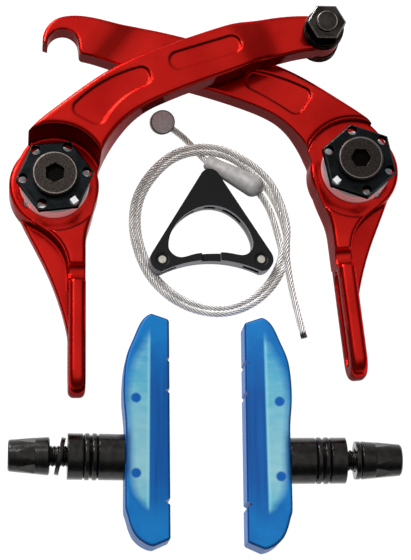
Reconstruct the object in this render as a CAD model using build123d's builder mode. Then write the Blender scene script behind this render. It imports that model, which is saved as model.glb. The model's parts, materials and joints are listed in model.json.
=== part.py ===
from build123d import *
import math
import os

# A U brake laid out in its pieces on a table, as it comes out of its bag.
# Millimetres. The table top is Z 0, +X goes right and +Y away from the reader.
# Each forged arm is drawn in its own frame: the pivot axis is the origin, the pad strap hangs
# towards -Y and the bar reaches up to +X. The right arm is the mirrored forging, turned more.

os.makedirs("parts", exist_ok=True)

# From the drawing's own zero to the middle of the layout's box, which is the origin
LAYOUT_SHIFT = (0.9, 1.43)

# Places of the two arms on the table: pivot centre, then the turn about it in degrees
LEFT_PIVOT = (-43.8, 24.2)
RIGHT_PIVOT = (42.0, 31.0)
LEFT_TURN = 0.7
RIGHT_TURN = 6.5

# Levels of the forged arms above the table
REAR_Z = 0.4
GUSSET_Z = 4.8
SEAT_Z = 10.0
WEB_Z = 12.0
STRAP_Z = 14.5
BAR_THICK = 7.2
RIGHT_BAR_TOP = 13.4
BAR_GAP = 3.4
LEFT_BAR_TOP = RIGHT_BAR_TOP + BAR_GAP + BAR_THICK

# Outline of both forgings in the arm's own frame
BOSS_R = 12.7
BOSS_EDGE_R = 1.0
OUTER_EDGE = [(-10.6, 5.6), (-7.0, 12.2), (0.3, 18.9), (15.4, 30.2), (35.8, 39.5), (48.2, 44.0), (58.5, 46.9)]
INNER_EDGE = [(11.9, 0.8), (13.1, 6.6), (16.2, 11.9), (21.0, 16.9), (29.6, 22.0), (41.9, 27.3), (50.2, 30.5), (61.5, 35.0)]
EDGE_R = 1.1
HOOK_EDGE_R = 0.6
REAR_EDGE_R = 0.6

# Left bar: its rise from the boss, the step down to the cable anchor and the bends, along the bar
BAR_DIRECTION = 25.0
LEFT_RISE = (12.5, 30.0)
ANCHOR_STEP = (64.5, 71.5)
ANCHOR_DROP = 3.0
LEFT_BEND_R = 14.0
EYE = (76.1, 43.5)
EYE_R = 5.3
EYE_START = 112.0
EYE_END = -100.0

# Right bar: its rise from the boss and the step up to the hook, across the hook's own line
HOOK_DIRECTION = 42.5
RIGHT_RISE = (14.0, 24.0)
HOOK_STEP = (72.6, 81.0)
HOOK_RISE = 3.0
RIGHT_BEND_R = 16.0
HOOK = (79.8, 42.6)
HOOK_R = 4.4
HOOK_BACK = [(64.0, 47.9), (70.6, 49.9), (78.0, 50.9)]
HOOK_NOSE = [(81.4, 50.1), (84.2, 47.6), (85.5, 43.2)]
HOOK_HEEL = (75.4, 39.3)
HOOK_HEEL_R = 1.2

# Reach of both bars' side profiles, past the eye and the hook
BAR_REACH = max(math.hypot(*EYE), math.hypot(*HOOK_NOSE[-1])) + BAR_THICK

# Recesses in the front faces of the bars
POCKET_DEPTH = 1.1
POCKET_R = 2.4
LEFT_POCKET = [(3.4, 17.6), (25.6, 31.4), (27.2, 26.2), (12.6, 12.7)]
LEFT_POCKET_BENDS = [(12.3, 25.7), (18.2, 20.9)]
RIGHT_POCKET = [(9.2, 23.2), (27.2, 31.6), (29.4, 27.0), (15.0, 16.2)]
RIGHT_POCKET_BENDS = [(17.8, 28.2), (22.4, 22.3)]
SLOT_POCKET = [(34.5, 33.0), (49.6, 38.1)]
SLOT_POCKET_R = 2.7

# Spring seats turned into the front of the forgings: radius and roundness of the mouth
LEFT_SEAT = (13.8, 1.5)
RIGHT_SEAT = (14.4, 2.0)
COLLAR_R = 7.4
COLLAR_H = 3.0

# Pad strap, its slot, the groove above it and the gusset beside it
STRAP_OUT = 4.1
STRAP_THICK = 4.8
STRAP_IN = STRAP_OUT + STRAP_THICK
STRAP_START = -24.0
STRAP_END = -60.5
STRAP_END_R = 6.0
STRAP_EDGE_R = 1.6
SLOT_TOP = -28.8
SLOT_BOTTOM = -56.8
SLOT_WIDTH = 6.2
GROOVE_Y = -25.8
GROOVE_R = 3.0
GROOVE_Z = 13.0
WEB_OUTER = [(-6.4, -10.8), (1.0, -16.4), (STRAP_OUT, -25.6)]
WEB_INNER = [(12.1, -1.0), (11.6, -5.2), (9.9, -11.6), (STRAP_IN, -18.6)]
WEB_END = -27.0
GUSSET_EDGE = [(-10.4, -6.3), (-7.5, -12.4), (-2.4, -22.4), (1.2, -31.4), (3.2, -38.2), (4.7, -49.0)]

# Pivot hardware: bush, pivot bolt, tension adjuster and return spring
BUSH_R = 6.5
BUSH_CLEARANCE = 0.05
POST_R = 4.55
STACK_GAP = 0.1
ADJUSTER_FLATS = 19.0
ADJUSTER_Z = 16.3
ADJUSTER_THICK = 3.0
ADJUSTER_TOP = ADJUSTER_Z + ADJUSTER_THICK
ADJUSTER_EDGE = 0.4
ADJUSTER_HOLES = 6
HOLE_CIRCLE_R = 9.0
HOLE_R = 1.35
BOLT_CLEARANCE = 0.08
BOLT_HEAD_R = 6.4
BOLT_HEAD_H = 2.2
BOLT_EDGE = 0.35
M6_R = 3.0
SHANK_R = 2.6
THREAD_LENGTH = 11.0
BOLT_END_Z = 1.0
SOCKET_FLATS = 5.0
SOCKET_DEPTH = 1.7
SPRING_WIRE = 1.8
SPRING_TURNS = 2.25
SPRING_LEG_DOWN = 3.0
SPRING_LEG_UP = 0.3
SPRING_LEG_LEAD = 3.0
SPRING_Z = SEAT_Z + STACK_GAP
SPRING_H = ADJUSTER_Z - STACK_GAP - SPRING_Z
LEFT_ADJUSTER_ANGLE = 7.5
RIGHT_ADJUSTER_ANGLE = -17.4
LEFT_LEG_ANGLE = -142.5
RIGHT_LEG_ANGLE = -47.4
LEFT_SOCKET_ANGLE = 30.0
RIGHT_SOCKET_ANGLE = 0.0

# Cable anchor at the end of the left bar: radius and height of each piece
M6_CLEARANCE = 0.06
ANCHOR_BOTTOM = LEFT_BAR_TOP - ANCHOR_DROP - BAR_THICK
ANCHOR_TOP = LEFT_BAR_TOP - ANCHOR_DROP
ANCHOR_HEAD = (5.6, 3.4)
ANCHOR_REAR_WASHER = (5.7, 1.8)
ANCHOR_FRONT_WASHER = (5.6, 1.5)
ANCHOR_NUT_FLATS = 9.6
ANCHOR_NUT_H = 4.6
ANCHOR_NUT_EDGE = 0.35
ANCHOR_STICK_OUT = 0.9
ANCHOR_NUT_Z = ANCHOR_TOP + ANCHOR_REAR_WASHER[1] + ANCHOR_FRONT_WASHER[1] + STACK_GAP

# Straddle cable: disc nipple, lead, moulded sleeve, turn, coil and tail
CABLE_R = 0.9
NIPPLE = (-12.9, 46.6)
NIPPLE_R = 3.5
NIPPLE_H = 6.0
NIPPLE_EDGE = 0.35
NIPPLE_LEAN = 17.0
LEAD_ROUTE = [
    (-11.4, 44.9, 3.4),
    (-7.6, 43.0, 1.7),
    (-4.2, 39.9, 0.95),
    (-1.2, 36.2, 1.6),
    (1.2, 33.7, 2.4),
]
TURN_ROUTE = [
    (14.3, 26.5, 3.1),
    (17.6, 22.6, 1.6),
    (19.7, 17.6, 0.95),
    (21.1, 11.9, 0.95),
]
TAIL_ROUTE = [
    (22.9, 9.0, 0.95),
    (23.7, 2.6, 0.95),
    (24.8, -3.6, 0.95),
    (26.4, -10.0, 0.95),
    (28.1, -16.6, 0.95),
]
SLEEVE_START = (0.0, 34.8, 2.3)
SLEEVE_END = (16.4, 25.8, 3.65)
SLEEVE_R = 3.3
SLEEVE_NECK_R = 2.2
SLEEVE_NECK = 3.6
SLEEVE_FULL = 15.2
SLEEVE_DOME = 2.8
SLEEVE_DOME_ARC = 80.0
SLEEVE_EDGE_R = 0.5
COIL_CENTRE = (1.65, 15.3)
COIL_REACH = (24.9, 20.1)
COIL_TILT = -55.0
COIL_WIDTH = 4.2
COIL_H = 1.85
COIL_EDGE_R = 0.9

# Cable hanger: two plates on a core, held by two pins. It leans on the coil, left side up.
HANGER_APEX = (0.4, 28.5)
HANGER_LEFT = (-13.2, 4.0)
HANGER_RIGHT = (15.2, 5.2)
HANGER_APEX_R = 2.9
HANGER_CORNER_R = 3.5
HANGER_BOW = (0.9, 4.4)
HANGER_EYE_CENTRE = (0.6, 11.5)
HANGER_EYE = [
    (-11.5, 7.9),
    (-11.0, 11.3),
    (-8.3, 15.9),
    (-4.6, 18.9),
    (0.5, 20.5),
    (5.5, 19.5),
    (9.8, 16.2),
    (12.3, 12.1),
    (12.7, 8.6),
    (10.8, 6.4),
    (7.0, 6.5),
    (0.9, 6.6),
    (-4.7, 5.7),
    (-8.7, 4.9),
]
HANGER_FOOT_X = 18.8
HANGER_LEAN = 3.6
HANGER_PLATE = 1.6
HANGER_CORE = 1.8
HANGER_H = 2 * HANGER_PLATE + HANGER_CORE
HANGER_PIN_R = 1.1
HANGER_SINK_R = 1.9
HANGER_SINK = 0.5
HANGER_GAP = (-1.9, 3.6)
HANGER_INSET = 0.8
HANGER_EYE_SLOTS = [(-9.4, -3.9), (-1.0, 2.2), (4.4, 11.6)]
HANGER_BAR_SLOTS = [(-13.4, -9.0), (10.2, 14.8)]

# Brake pads: block, embedded insert and stud, in the pad's own frame.
# The stud axis is the X axis, the friction face looks towards +X and the hardware runs to -X.
LEFT_PAD = (-23.8, -52.7)
RIGHT_PAD = (23.3, -53.0)
RIGHT_PAD_TURN = 1.3
STUD_AXIS_Z = 6.5
PAD_LOWER_BACK = [(8.8, -25.2), (6.3, -24.5), (3.3, -21.9), (1.3, -16.6), (0.7, -7.0)]
PAD_UPPER_BACK = [(0.7, 7.0), (0.1, 14.4), (0.1, 22.7), (1.0, 28.3), (2.9, 33.1), (5.6, 38.4), (7.7, 39.7)]
PAD_FACE = [(12.6, 38.2), (13.3, -23.2)]
PAD_HALF = 6.5
PAD_TAPER = 1.3
PAD_FACE_HALF = PAD_HALF - PAD_TAPER
PAD_EDGE_R = 0.9
PAD_CORNER_R = 1.0
NOTCHES = [26.8, 18.0, -12.8]
NOTCH_DEPTH = 1.7
NOTCH_WIDTH = 2.0
INSERT_X = (2.6, 7.4)
INSERT_Y = (-15.4, 32.6)
INSERT_HALF = 3.6
INSERT_BOW = 1.6
INSERT_HOLES = [15.8, -5.0]
INSERT_HOLE_R = 1.4
STUD_END = -25.6
WASHER_R = 6.4
WASHER_BORE_R = 3.35
BALL_R = 9.0
BALL_RIM_R = 5.9
CUP_RIM = -6.4
DOME_R = 6.5
DOME_EDGE = 0.6
DOME_GAP = 0.15
DOME_FLAT = -8.6
THIN_CUP_RIM = -10.8
THIN_CUP_END = -15.0
FLAT_WASHER_R = 5.3
FLAT_WASHER_THICK = 1.2
LEFT_FLAT_WASHER = (-17.0, -11.0)
RIGHT_FLAT_WASHER = (-18.4, 0.0)
NUT_START = -19.9
NUT_END = -31.3
NUT_BASE_R = 5.3
NUT_END_R = 4.4
NUT_EDGE = 0.4
NUT_COLLAR = 4.0
NUT_FLATS = 9.2
RIGHT_NUT_SHIFT = 0.6
NUT_BORE = 6.8
NUT_SOCKET = 5.0


def save(builder, name):
    """Writes one finished piece under its node's name, measured from the layout's middle."""
    with BuildPart() as piece:
        with Locations((*LAYOUT_SHIFT, 0)):
            add(builder.part)
    piece.part.label = name
    export_step(piece.part, f"parts/{name}.step")


def polar(radius, degrees):
    """The point at a radius and an angle about a pivot."""
    return (radius * math.cos(math.radians(degrees)), radius * math.sin(math.radians(degrees)))


def about_pivot(pivot, turn=0):
    """The location that carries a piece from an arm's own frame to the table."""
    return Location((pivot[0], pivot[1], 0), (0, 0, turn))


def placed(piece, place, mirrored=False):
    """A finished piece carried to its place, mirrored first for the right side."""
    with BuildPart() as own:
        add(piece.part)
        if mirrored:
            mirror(about=Plane.YZ, mode=Mode.REPLACE)
    with BuildPart() as there:
        with Locations(place):
            add(own.part)
    return there


def side_plane(direction):
    """An upright plane through the pivot axis, X along the given direction and Y up."""
    return Plane(origin=(0, 0, 0), x_dir=(*polar(1, direction), 0), z_dir=(*polar(1, direction - 90), 0))


def upper_rims(part, clear_of):
    """The edges where the upper faces of a forging meet its side walls, outside the boss."""
    level = [f for f in part.faces() if f.normal_at().Z > 0.5]
    wall_edges = [e for f in part.faces() if abs(f.normal_at().Z) < 0.3 for e in f.edges()]
    found = ShapeList()
    for edge in (e for f in level for e in f.edges()):
        middle = edge.position_at(0.5)
        outside = math.hypot(middle.X, middle.Y) > clear_of
        if outside and any(edge.is_same(other) for other in wall_edges):
            found.append(edge)
    return found


def bar_profile(direction, rise, step, bottom, climb, bend_r):
    """Keeps of a bar what lies in its side profile: it rises from the boss and steps once."""
    top = bottom + BAR_THICK
    with BuildSketch(side_plane(direction)) as profile:
        with BuildLine():
            Polyline(
                (-BAR_REACH, REAR_Z),
                (rise[0], REAR_Z),
                (rise[1], bottom),
                (step[0], bottom),
                (step[1], bottom + climb),
                (BAR_REACH, bottom + climb),
                (BAR_REACH, top + climb),
                (step[1], top + climb),
                (step[0], top),
                (-BAR_REACH, top),
                close=True,
            )
        make_face()
        bends = vertices().filter_by(lambda v: rise[0] + 1 < v.X < BAR_REACH - 1)
        fillet(bends, bend_r)
    extrude(profile.sketch, amount=BAR_REACH, both=True, mode=Mode.INTERSECT)


def pocket(corners, bends, top):
    """A shallow recess with four rounded corners and two bowed long sides."""
    with BuildSketch(Plane.XY.offset(top)) as recess:
        with BuildLine():
            ThreePointArc(corners[0], bends[0], corners[1])
            Line(corners[1], corners[2])
            ThreePointArc(corners[2], bends[1], corners[3])
            Line(corners[3], corners[0])
        make_face()
        fillet(vertices(), POCKET_R)
    extrude(recess.sketch, amount=-POCKET_DEPTH, mode=Mode.SUBTRACT)


def slot_pocket(top):
    """A shallow round-ended recess further along the bar."""
    (x0, y0), (x1, y1) = SLOT_POCKET
    with BuildSketch(Plane.XY.offset(top)) as recess:
        with Locations(((x0 + x1) / 2, (y0 + y1) / 2)):
            turn = math.degrees(math.atan2(y1 - y0, x1 - x0))
            SlotCenterToCenter(math.hypot(x1 - x0, y1 - y0), 2 * SLOT_POCKET_R, rotation=turn)
    extrude(recess.sketch, amount=-POCKET_DEPTH, mode=Mode.SUBTRACT)


def left_bar():
    """The bar that ends in the cable anchor's eye and passes over the other one."""
    start = Vector(*EYE) + Vector(*polar(EYE_R, EYE_START))
    end = Vector(*EYE) + Vector(*polar(EYE_R, EYE_END))
    with BuildPart() as bar:
        with BuildSketch():
            with BuildLine():
                outer = Spline(*OUTER_EDGE, start)
                ThreePointArc(start, (EYE[0] + EYE_R, EYE[1]), end)
                inner = Spline(end, *reversed(INNER_EDGE))
                Line(inner @ 1, outer @ 0)
            make_face()
        extrude(amount=LEFT_BAR_TOP)
        bar_profile(BAR_DIRECTION, LEFT_RISE, ANCHOR_STEP, LEFT_BAR_TOP - BAR_THICK, -ANCHOR_DROP, LEFT_BEND_R)
        fillet(upper_rims(bar.part, BOSS_R), EDGE_R)
        pocket(LEFT_POCKET, LEFT_POCKET_BENDS, LEFT_BAR_TOP)
        slot_pocket(LEFT_BAR_TOP)
    return bar


def right_bar():
    """The bar that ends in the hook for the cable's sleeve."""
    ring_out = (HOOK[0] + HOOK_R, HOOK[1])
    ring_in = (HOOK[0] - HOOK_R, HOOK[1])
    with BuildPart() as bar:
        with BuildSketch():
            with BuildLine():
                outer = Spline(*OUTER_EDGE, *HOOK_BACK, *HOOK_NOSE)
                Line(HOOK_NOSE[-1], ring_out)
                ThreePointArc(ring_out, (HOOK[0], HOOK[1] + HOOK_R), ring_in)
                Line(ring_in, HOOK_HEEL)
                inner = Spline(HOOK_HEEL, *reversed(INNER_EDGE))
                Line(inner @ 1, outer @ 0)
            make_face()
            fillet(vertices().sort_by_distance(HOOK_HEEL)[0], HOOK_HEEL_R)
        extrude(amount=RIGHT_BAR_TOP + HOOK_RISE)
        bar_profile(HOOK_DIRECTION, RIGHT_RISE, HOOK_STEP, RIGHT_BAR_TOP - BAR_THICK, HOOK_RISE, RIGHT_BEND_R)
        fillet(upper_rims(bar.part, BOSS_R), HOOK_EDGE_R)
        pocket(RIGHT_POCKET, RIGHT_POCKET_BENDS, RIGHT_BAR_TOP)
        slot_pocket(RIGHT_BAR_TOP)
    return bar


def web():
    """The upright web between the boss and the pad strap."""
    with BuildPart() as piece:
        with BuildSketch(Plane.XY.offset(REAR_Z)):
            with BuildLine():
                inner = Spline(*WEB_INNER, tangents=[(-0.1, -1), (0, -1)])
                Polyline(inner @ 1, (STRAP_IN, WEB_END), (STRAP_OUT, WEB_END), WEB_OUTER[-1])
                outer = Spline(*reversed(WEB_OUTER), tangents=[(0, 1), (-0.87, 0.49)])
                Line(outer @ 1, inner @ 0)
            make_face()
        extrude(amount=WEB_Z - REAR_Z)
        fillet(upper_rims(piece.part, BOSS_R), EDGE_R)
    return piece


def strap():
    """The strap that stands on edge, with the slot that the pad's stud slides in."""
    with BuildPart() as piece:
        with BuildSketch(Plane.YZ.offset(STRAP_OUT)):
            with Locations(((STRAP_START + STRAP_END) / 2, (REAR_Z + STRAP_Z) / 2)):
                Rectangle(STRAP_START - STRAP_END, STRAP_Z - REAR_Z)
            fillet(vertices().group_by(Axis.X)[0], STRAP_END_R)
        extrude(amount=STRAP_THICK)
        sides = piece.faces().group_by(Axis.X)
        fillet((sides[0] + sides[-1]).edges(), STRAP_EDGE_R)
        with BuildSketch(Plane.YZ.offset(STRAP_OUT)):
            with Locations(((SLOT_TOP + SLOT_BOTTOM) / 2, (REAR_Z + STRAP_Z) / 2)):
                SlotOverall(SLOT_TOP - SLOT_BOTTOM, SLOT_WIDTH)
        extrude(amount=STRAP_THICK, mode=Mode.SUBTRACT)
    return piece


def gusset():
    """The thin rear plate that braces the strap against the boss."""
    middle = (STRAP_OUT + STRAP_IN) / 2
    with BuildPart() as piece:
        with BuildSketch(Plane.XY.offset(REAR_Z)):
            with BuildLine():
                edge = Spline(*GUSSET_EDGE)
                Polyline(edge @ 1, (middle, GUSSET_EDGE[-1][1]), (middle, WEB_OUTER[0][1]), (0, 0), edge @ 0)
            make_face()
        extrude(amount=GUSSET_Z - REAR_Z)
        free = [e for e in upper_rims(piece.part, BOSS_R - 1) if e.geom_type != GeomType.LINE]
        fillet(free, REAR_EDGE_R)
    return piece


def boss():
    """The round body that the arm pivots on, with a rounded front rim."""
    with BuildPart() as piece:
        with Locations((0, 0, (SEAT_Z + REAR_Z) / 2)):
            Cylinder(BOSS_R, SEAT_Z - REAR_Z)
        fillet(piece.edges().group_by(Axis.Z)[-1], BOSS_EDGE_R)
    return piece


def forging(bar, seat, bar_top, leg_angle):
    """One whole arm: boss, bar, web, strap and gusset, with the seat, bore and spring hole cut."""
    radius, mouth_r = seat
    lean = mouth_r * (1 - math.cos(math.radians(45)))
    with BuildPart() as arm:
        add(bar.part)
        add(web().part)
        with BuildSketch(Plane.XZ):
            with BuildLine():
                Polyline((0, SEAT_Z), (radius, SEAT_Z), (radius, bar_top - mouth_r))
                ThreePointArc(
                    (radius, bar_top - mouth_r),
                    (radius + lean, bar_top - lean),
                    (radius + mouth_r, bar_top),
                )
                Polyline(
                    (radius + mouth_r, bar_top),
                    (radius + mouth_r, bar_top + BAR_THICK),
                    (0, bar_top + BAR_THICK),
                    (0, SEAT_Z),
                )
            make_face()
        revolve(axis=Axis.Z, mode=Mode.SUBTRACT)
        add(gusset().part)
        add(strap().part)
        add(boss().part)
        with Locations((0, 0, SEAT_Z + COLLAR_H / 2)):
            Cylinder(COLLAR_R, COLLAR_H)
        with Locations(((STRAP_OUT + STRAP_IN) / 2, GROOVE_Y, GROOVE_Z)):
            Cylinder(GROOVE_R, 2 * STRAP_THICK, rotation=(0, 90, 0), mode=Mode.SUBTRACT)
        with Locations((0, 0, SEAT_Z)):
            Cylinder(BUSH_R + BUSH_CLEARANCE, 3 * SEAT_Z, mode=Mode.SUBTRACT)
        with Locations((*polar(HOLE_CIRCLE_R, leg_angle), SEAT_Z)):
            Cylinder(HOLE_R, 2 * (SPRING_LEG_DOWN + STACK_GAP), mode=Mode.SUBTRACT)
    return arm


def left_arm():
    """The left forging with the anchor bolt's hole."""
    with BuildPart() as arm:
        add(forging(left_bar(), LEFT_SEAT, LEFT_BAR_TOP, LEFT_LEG_ANGLE - LEFT_TURN).part)
        with Locations((*EYE, ANCHOR_TOP)):
            Cylinder(M6_R + M6_CLEARANCE, 3 * BAR_THICK, mode=Mode.SUBTRACT)
    return arm


def right_arm():
    """The right forging before it is mirrored."""
    return forging(right_bar(), RIGHT_SEAT, RIGHT_BAR_TOP, 180 - RIGHT_LEG_ANGLE + RIGHT_TURN)


def pivot_bush():
    """The bush that fits over the frame's post and that the arm swings on."""
    with BuildPart() as bush:
        with Locations((0, 0, (ADJUSTER_Z - STACK_GAP) / 2)):
            Cylinder(BUSH_R, ADJUSTER_Z - STACK_GAP)
            Cylinder(POST_R, ADJUSTER_Z, mode=Mode.SUBTRACT)
    return bush


def tension_adjuster(angle):
    """The hexagonal plate on the spring, with a hole at each corner and one for the bolt."""
    with BuildPart() as plate:
        with BuildSketch(Plane.XY.offset(ADJUSTER_Z)):
            RegularPolygon(ADJUSTER_FLATS / 2, 6, major_radius=False, rotation=angle)
        extrude(amount=ADJUSTER_THICK)
        chamfer(plate.edges().filter_by(lambda e: abs(e.tangent_at(0.5).Z) < 0.1), ADJUSTER_EDGE)
        with BuildSketch(Plane.XY.offset(ADJUSTER_Z)):
            Circle(SHANK_R + BOLT_CLEARANCE)
            with PolarLocations(HOLE_CIRCLE_R, ADJUSTER_HOLES, start_angle=angle):
                Circle(HOLE_R)
        extrude(amount=ADJUSTER_THICK, mode=Mode.SUBTRACT)
    return plate


def pivot_bolt(socket_angle):
    """The bolt that holds the stack on the frame's post: thread, shank and socket head."""
    seat = ADJUSTER_TOP + STACK_GAP
    shank = BOLT_END_Z + THREAD_LENGTH
    with BuildPart() as bolt:
        with Locations((0, 0, BOLT_END_Z + THREAD_LENGTH / 2)):
            Cylinder(M6_R, THREAD_LENGTH)
        with Locations((0, 0, (shank + seat) / 2)):
            Cylinder(SHANK_R, seat - shank)
        chamfer(bolt.edges().group_by(Axis.Z)[0], BOLT_EDGE)
        with Locations((0, 0, seat + BOLT_HEAD_H / 2)):
            Cylinder(BOLT_HEAD_R, BOLT_HEAD_H)
        chamfer(bolt.edges().group_by(Axis.Z)[-1], BOLT_EDGE)
        with BuildSketch(Plane.XY.offset(seat + BOLT_HEAD_H)):
            RegularPolygon(SOCKET_FLATS / 2, 6, major_radius=False, rotation=socket_angle)
        extrude(amount=-SOCKET_DEPTH, mode=Mode.SUBTRACT)
    return bolt


def return_spring():
    """The square-wire return spring from its low leg at angle 0 up to the leg in the adjuster."""
    centre_z = SPRING_Z + SPRING_WIRE / 2
    rise = SPRING_H - SPRING_WIRE
    turns = SPRING_TURNS - 2 * SPRING_LEG_LEAD / 360
    start = Plane(origin=(0, 0, centre_z), x_dir=(*polar(1, SPRING_LEG_LEAD), 0), z_dir=(0, 0, 1))
    with BuildPart() as spring:
        with BuildLine(start) as path:
            Helix(rise / turns, rise, HOLE_CIRCLE_R)
        with BuildSketch(Plane(origin=path.line @ 0, x_dir=start.x_dir, z_dir=path.line % 0)):
            Rectangle(SPRING_WIRE, SPRING_WIRE)
        sweep(path=path.line, is_frenet=True)
        leg(0, SEAT_Z - SPRING_LEG_DOWN, centre_z + SPRING_WIRE / 4)
        leg(360 * SPRING_TURNS, centre_z + rise - SPRING_WIRE / 4, ADJUSTER_TOP + SPRING_LEG_UP)
    return spring


def leg(angle, bottom, top):
    """An upright end of the square wire."""
    with Locations(Location((*polar(HOLE_CIRCLE_R, angle), (bottom + top) / 2), (0, 0, angle))):
        Box(SPRING_WIRE, SPRING_WIRE, top - bottom)


def ring(radius, height, bottom, bore):
    """A plain washer about the Z axis."""
    with BuildPart() as washer:
        with Locations((0, 0, bottom + height / 2)):
            Cylinder(radius, height)
            Cylinder(bore, 2 * height, mode=Mode.SUBTRACT)
    return washer


def anchor_bolt():
    """The bolt whose head lies behind the left bar's eye."""
    end = ANCHOR_NUT_Z + ANCHOR_NUT_H + ANCHOR_STICK_OUT
    with BuildPart() as bolt:
        with Locations((0, 0, (ANCHOR_BOTTOM + end) / 2)):
            Cylinder(M6_R, end - ANCHOR_BOTTOM)
        chamfer(bolt.edges().group_by(Axis.Z)[-1], BOLT_EDGE)
        with Locations((0, 0, ANCHOR_BOTTOM - ANCHOR_HEAD[1] / 2)):
            Cylinder(*ANCHOR_HEAD)
        chamfer(bolt.edges().group_by(Axis.Z)[0], BOLT_EDGE)
    return bolt


def anchor_nut():
    """The hexagonal nut that clamps the cable between the two washers."""
    with BuildPart() as nut:
        with BuildSketch(Plane.XY.offset(ANCHOR_NUT_Z)):
            RegularPolygon(ANCHOR_NUT_FLATS / 2, 6, major_radius=False)
        extrude(amount=ANCHOR_NUT_H)
        chamfer(nut.edges().group_by(Axis.Z)[-1], ANCHOR_NUT_EDGE)
        with Locations((0, 0, ANCHOR_NUT_Z)):
            Cylinder(M6_R + M6_CLEARANCE, 3 * ANCHOR_NUT_H, mode=Mode.SUBTRACT)
    return nut


def corner_radii(route):
    """For each inner point of a route the bend radius that uses most of its shorter run."""
    points = [Vector(*p) for p in route]
    radii = []
    for before, here, after in zip(points, points[1:], points[2:]):
        half = math.radians((here - before).get_angle(after - here)) / 2
        radii.append(0.45 * min((here - before).length, (after - here).length) / math.tan(half))
    return radii


def cable_run(route):
    """A length of the cable as straight runs joined by arcs."""
    with BuildPart() as run:
        with BuildLine() as path:
            FilletPolyline(*route, radius=corner_radii(route))
        with BuildSketch(Plane(origin=path.line @ 0, z_dir=path.line % 0)):
            Circle(CABLE_R)
        sweep(path=path.line)
    return run


def nipple():
    """The round head at the cable's end, which the stiff cable holds askew on its rim."""
    with BuildPart() as head:
        Cylinder(NIPPLE_R, NIPPLE_H, align=(Align.CENTER, Align.CENTER, Align.MIN))
        chamfer(head.edges(), NIPPLE_EDGE)
    lift = (NIPPLE_R - NIPPLE_EDGE) * math.sin(math.radians(NIPPLE_LEAN))
    return placed(head, Location((*NIPPLE, lift), (NIPPLE_LEAN, 0, 0)))


def sleeve():
    """The moulded sleeve that sits in the hook, narrow towards the nipple and domed at its end."""
    along = Vector(*SLEEVE_END) - Vector(*SLEEVE_START)
    with BuildPart() as barrel:
        with BuildSketch():
            with BuildLine():
                Polyline(
                    (along.length, 0),
                    (0, 0),
                    (0, SLEEVE_NECK_R - SLEEVE_EDGE_R),
                    (SLEEVE_EDGE_R, SLEEVE_NECK_R),
                    (SLEEVE_NECK, SLEEVE_NECK_R),
                    (SLEEVE_FULL, SLEEVE_R),
                )
                dome = JernArc(start=(SLEEVE_FULL, SLEEVE_R), tangent=(1, 0), radius=SLEEVE_DOME, arc_size=-SLEEVE_DOME_ARC)
                Line(dome @ 1, (along.length, 0))
            make_face()
        revolve(axis=Axis.X)
    level = along.cross(Vector(0, 0, 1))
    return placed(barrel, Location(Plane(origin=SLEEVE_START, x_dir=along, z_dir=along.cross(level))))


def coil():
    """The cable's two turns as one closed ring of their outer shape."""
    with BuildPart() as bundle:
        with BuildSketch():
            with Locations(COIL_CENTRE):
                Ellipse(COIL_REACH[0] + COIL_WIDTH / 2, COIL_REACH[1] + COIL_WIDTH / 2, rotation=COIL_TILT)
                Ellipse(
                    COIL_REACH[0] - COIL_WIDTH / 2, COIL_REACH[1] - COIL_WIDTH / 2, rotation=COIL_TILT, mode=Mode.SUBTRACT
                )
        extrude(amount=COIL_H)
        fillet(bundle.faces().filter_by(Axis.Z).edges(), COIL_EDGE_R)
    return bundle


def below_bow(rise):
    """The region under the hanger's bowed lower edge, raised by the given amount."""
    low = (HANGER_LEFT[0], HANGER_LEFT[1] - HANGER_CORNER_R + rise)
    high = (HANGER_RIGHT[0], HANGER_RIGHT[1] - HANGER_CORNER_R + rise)
    with BuildSketch(mode=Mode.PRIVATE) as region:
        with BuildLine():
            ThreePointArc(low, (HANGER_BOW[0], HANGER_BOW[1] + rise), high)
            Polyline(high, (high[0], -HANGER_CORNER_R), (low[0], -HANGER_CORNER_R), low)
        make_face()
    return region


def hanger_eye(grow=0.0):
    """The D-shaped opening of the hanger, pushed outwards by the given amount."""
    centre = Vector(*HANGER_EYE_CENTRE)
    points = [Vector(*p) + (Vector(*p) - centre).normalized() * grow for p in HANGER_EYE]
    with BuildSketch(mode=Mode.PRIVATE) as eye:
        with BuildLine():
            Spline(*points, periodic=True)
        make_face()
    return eye


def hanger_outline():
    """The outline that the plates and the core share, with the opening and the two pin holes."""
    for centre, radius in (
        (HANGER_APEX, HANGER_APEX_R),
        (HANGER_LEFT, HANGER_CORNER_R),
        (HANGER_RIGHT, HANGER_CORNER_R),
    ):
        with Locations(centre):
            Circle(radius)
    make_hull()
    add(below_bow(0).sketch, mode=Mode.SUBTRACT)
    add(hanger_eye().sketch, mode=Mode.SUBTRACT)
    with Locations(HANGER_LEFT, HANGER_RIGHT):
        Circle(HANGER_PIN_R, mode=Mode.SUBTRACT)


def hanger_rear_plate():
    """The whole plate at the hanger's back."""
    with BuildPart() as plate:
        with BuildSketch():
            hanger_outline()
        extrude(amount=HANGER_PLATE)
    return plate


def hanger_front_plate():
    """The plate at the hanger's front, interrupted at the middle of its bar."""
    with BuildPart() as plate:
        with BuildSketch(Plane.XY.offset(HANGER_H - HANGER_PLATE)):
            hanger_outline()
            with Locations(((HANGER_GAP[0] + HANGER_GAP[1]) / 2, HANGER_BOW[1])):
                Rectangle(HANGER_GAP[1] - HANGER_GAP[0], 2 * HANGER_BOW[1], mode=Mode.SUBTRACT)
        extrude(amount=HANGER_PLATE)
        with BuildSketch(Plane.XY.offset(HANGER_H)):
            with Locations(HANGER_LEFT, HANGER_RIGHT):
                Circle(HANGER_SINK_R)
        extrude(amount=-HANGER_SINK, mode=Mode.SUBTRACT)
    return plate


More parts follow.
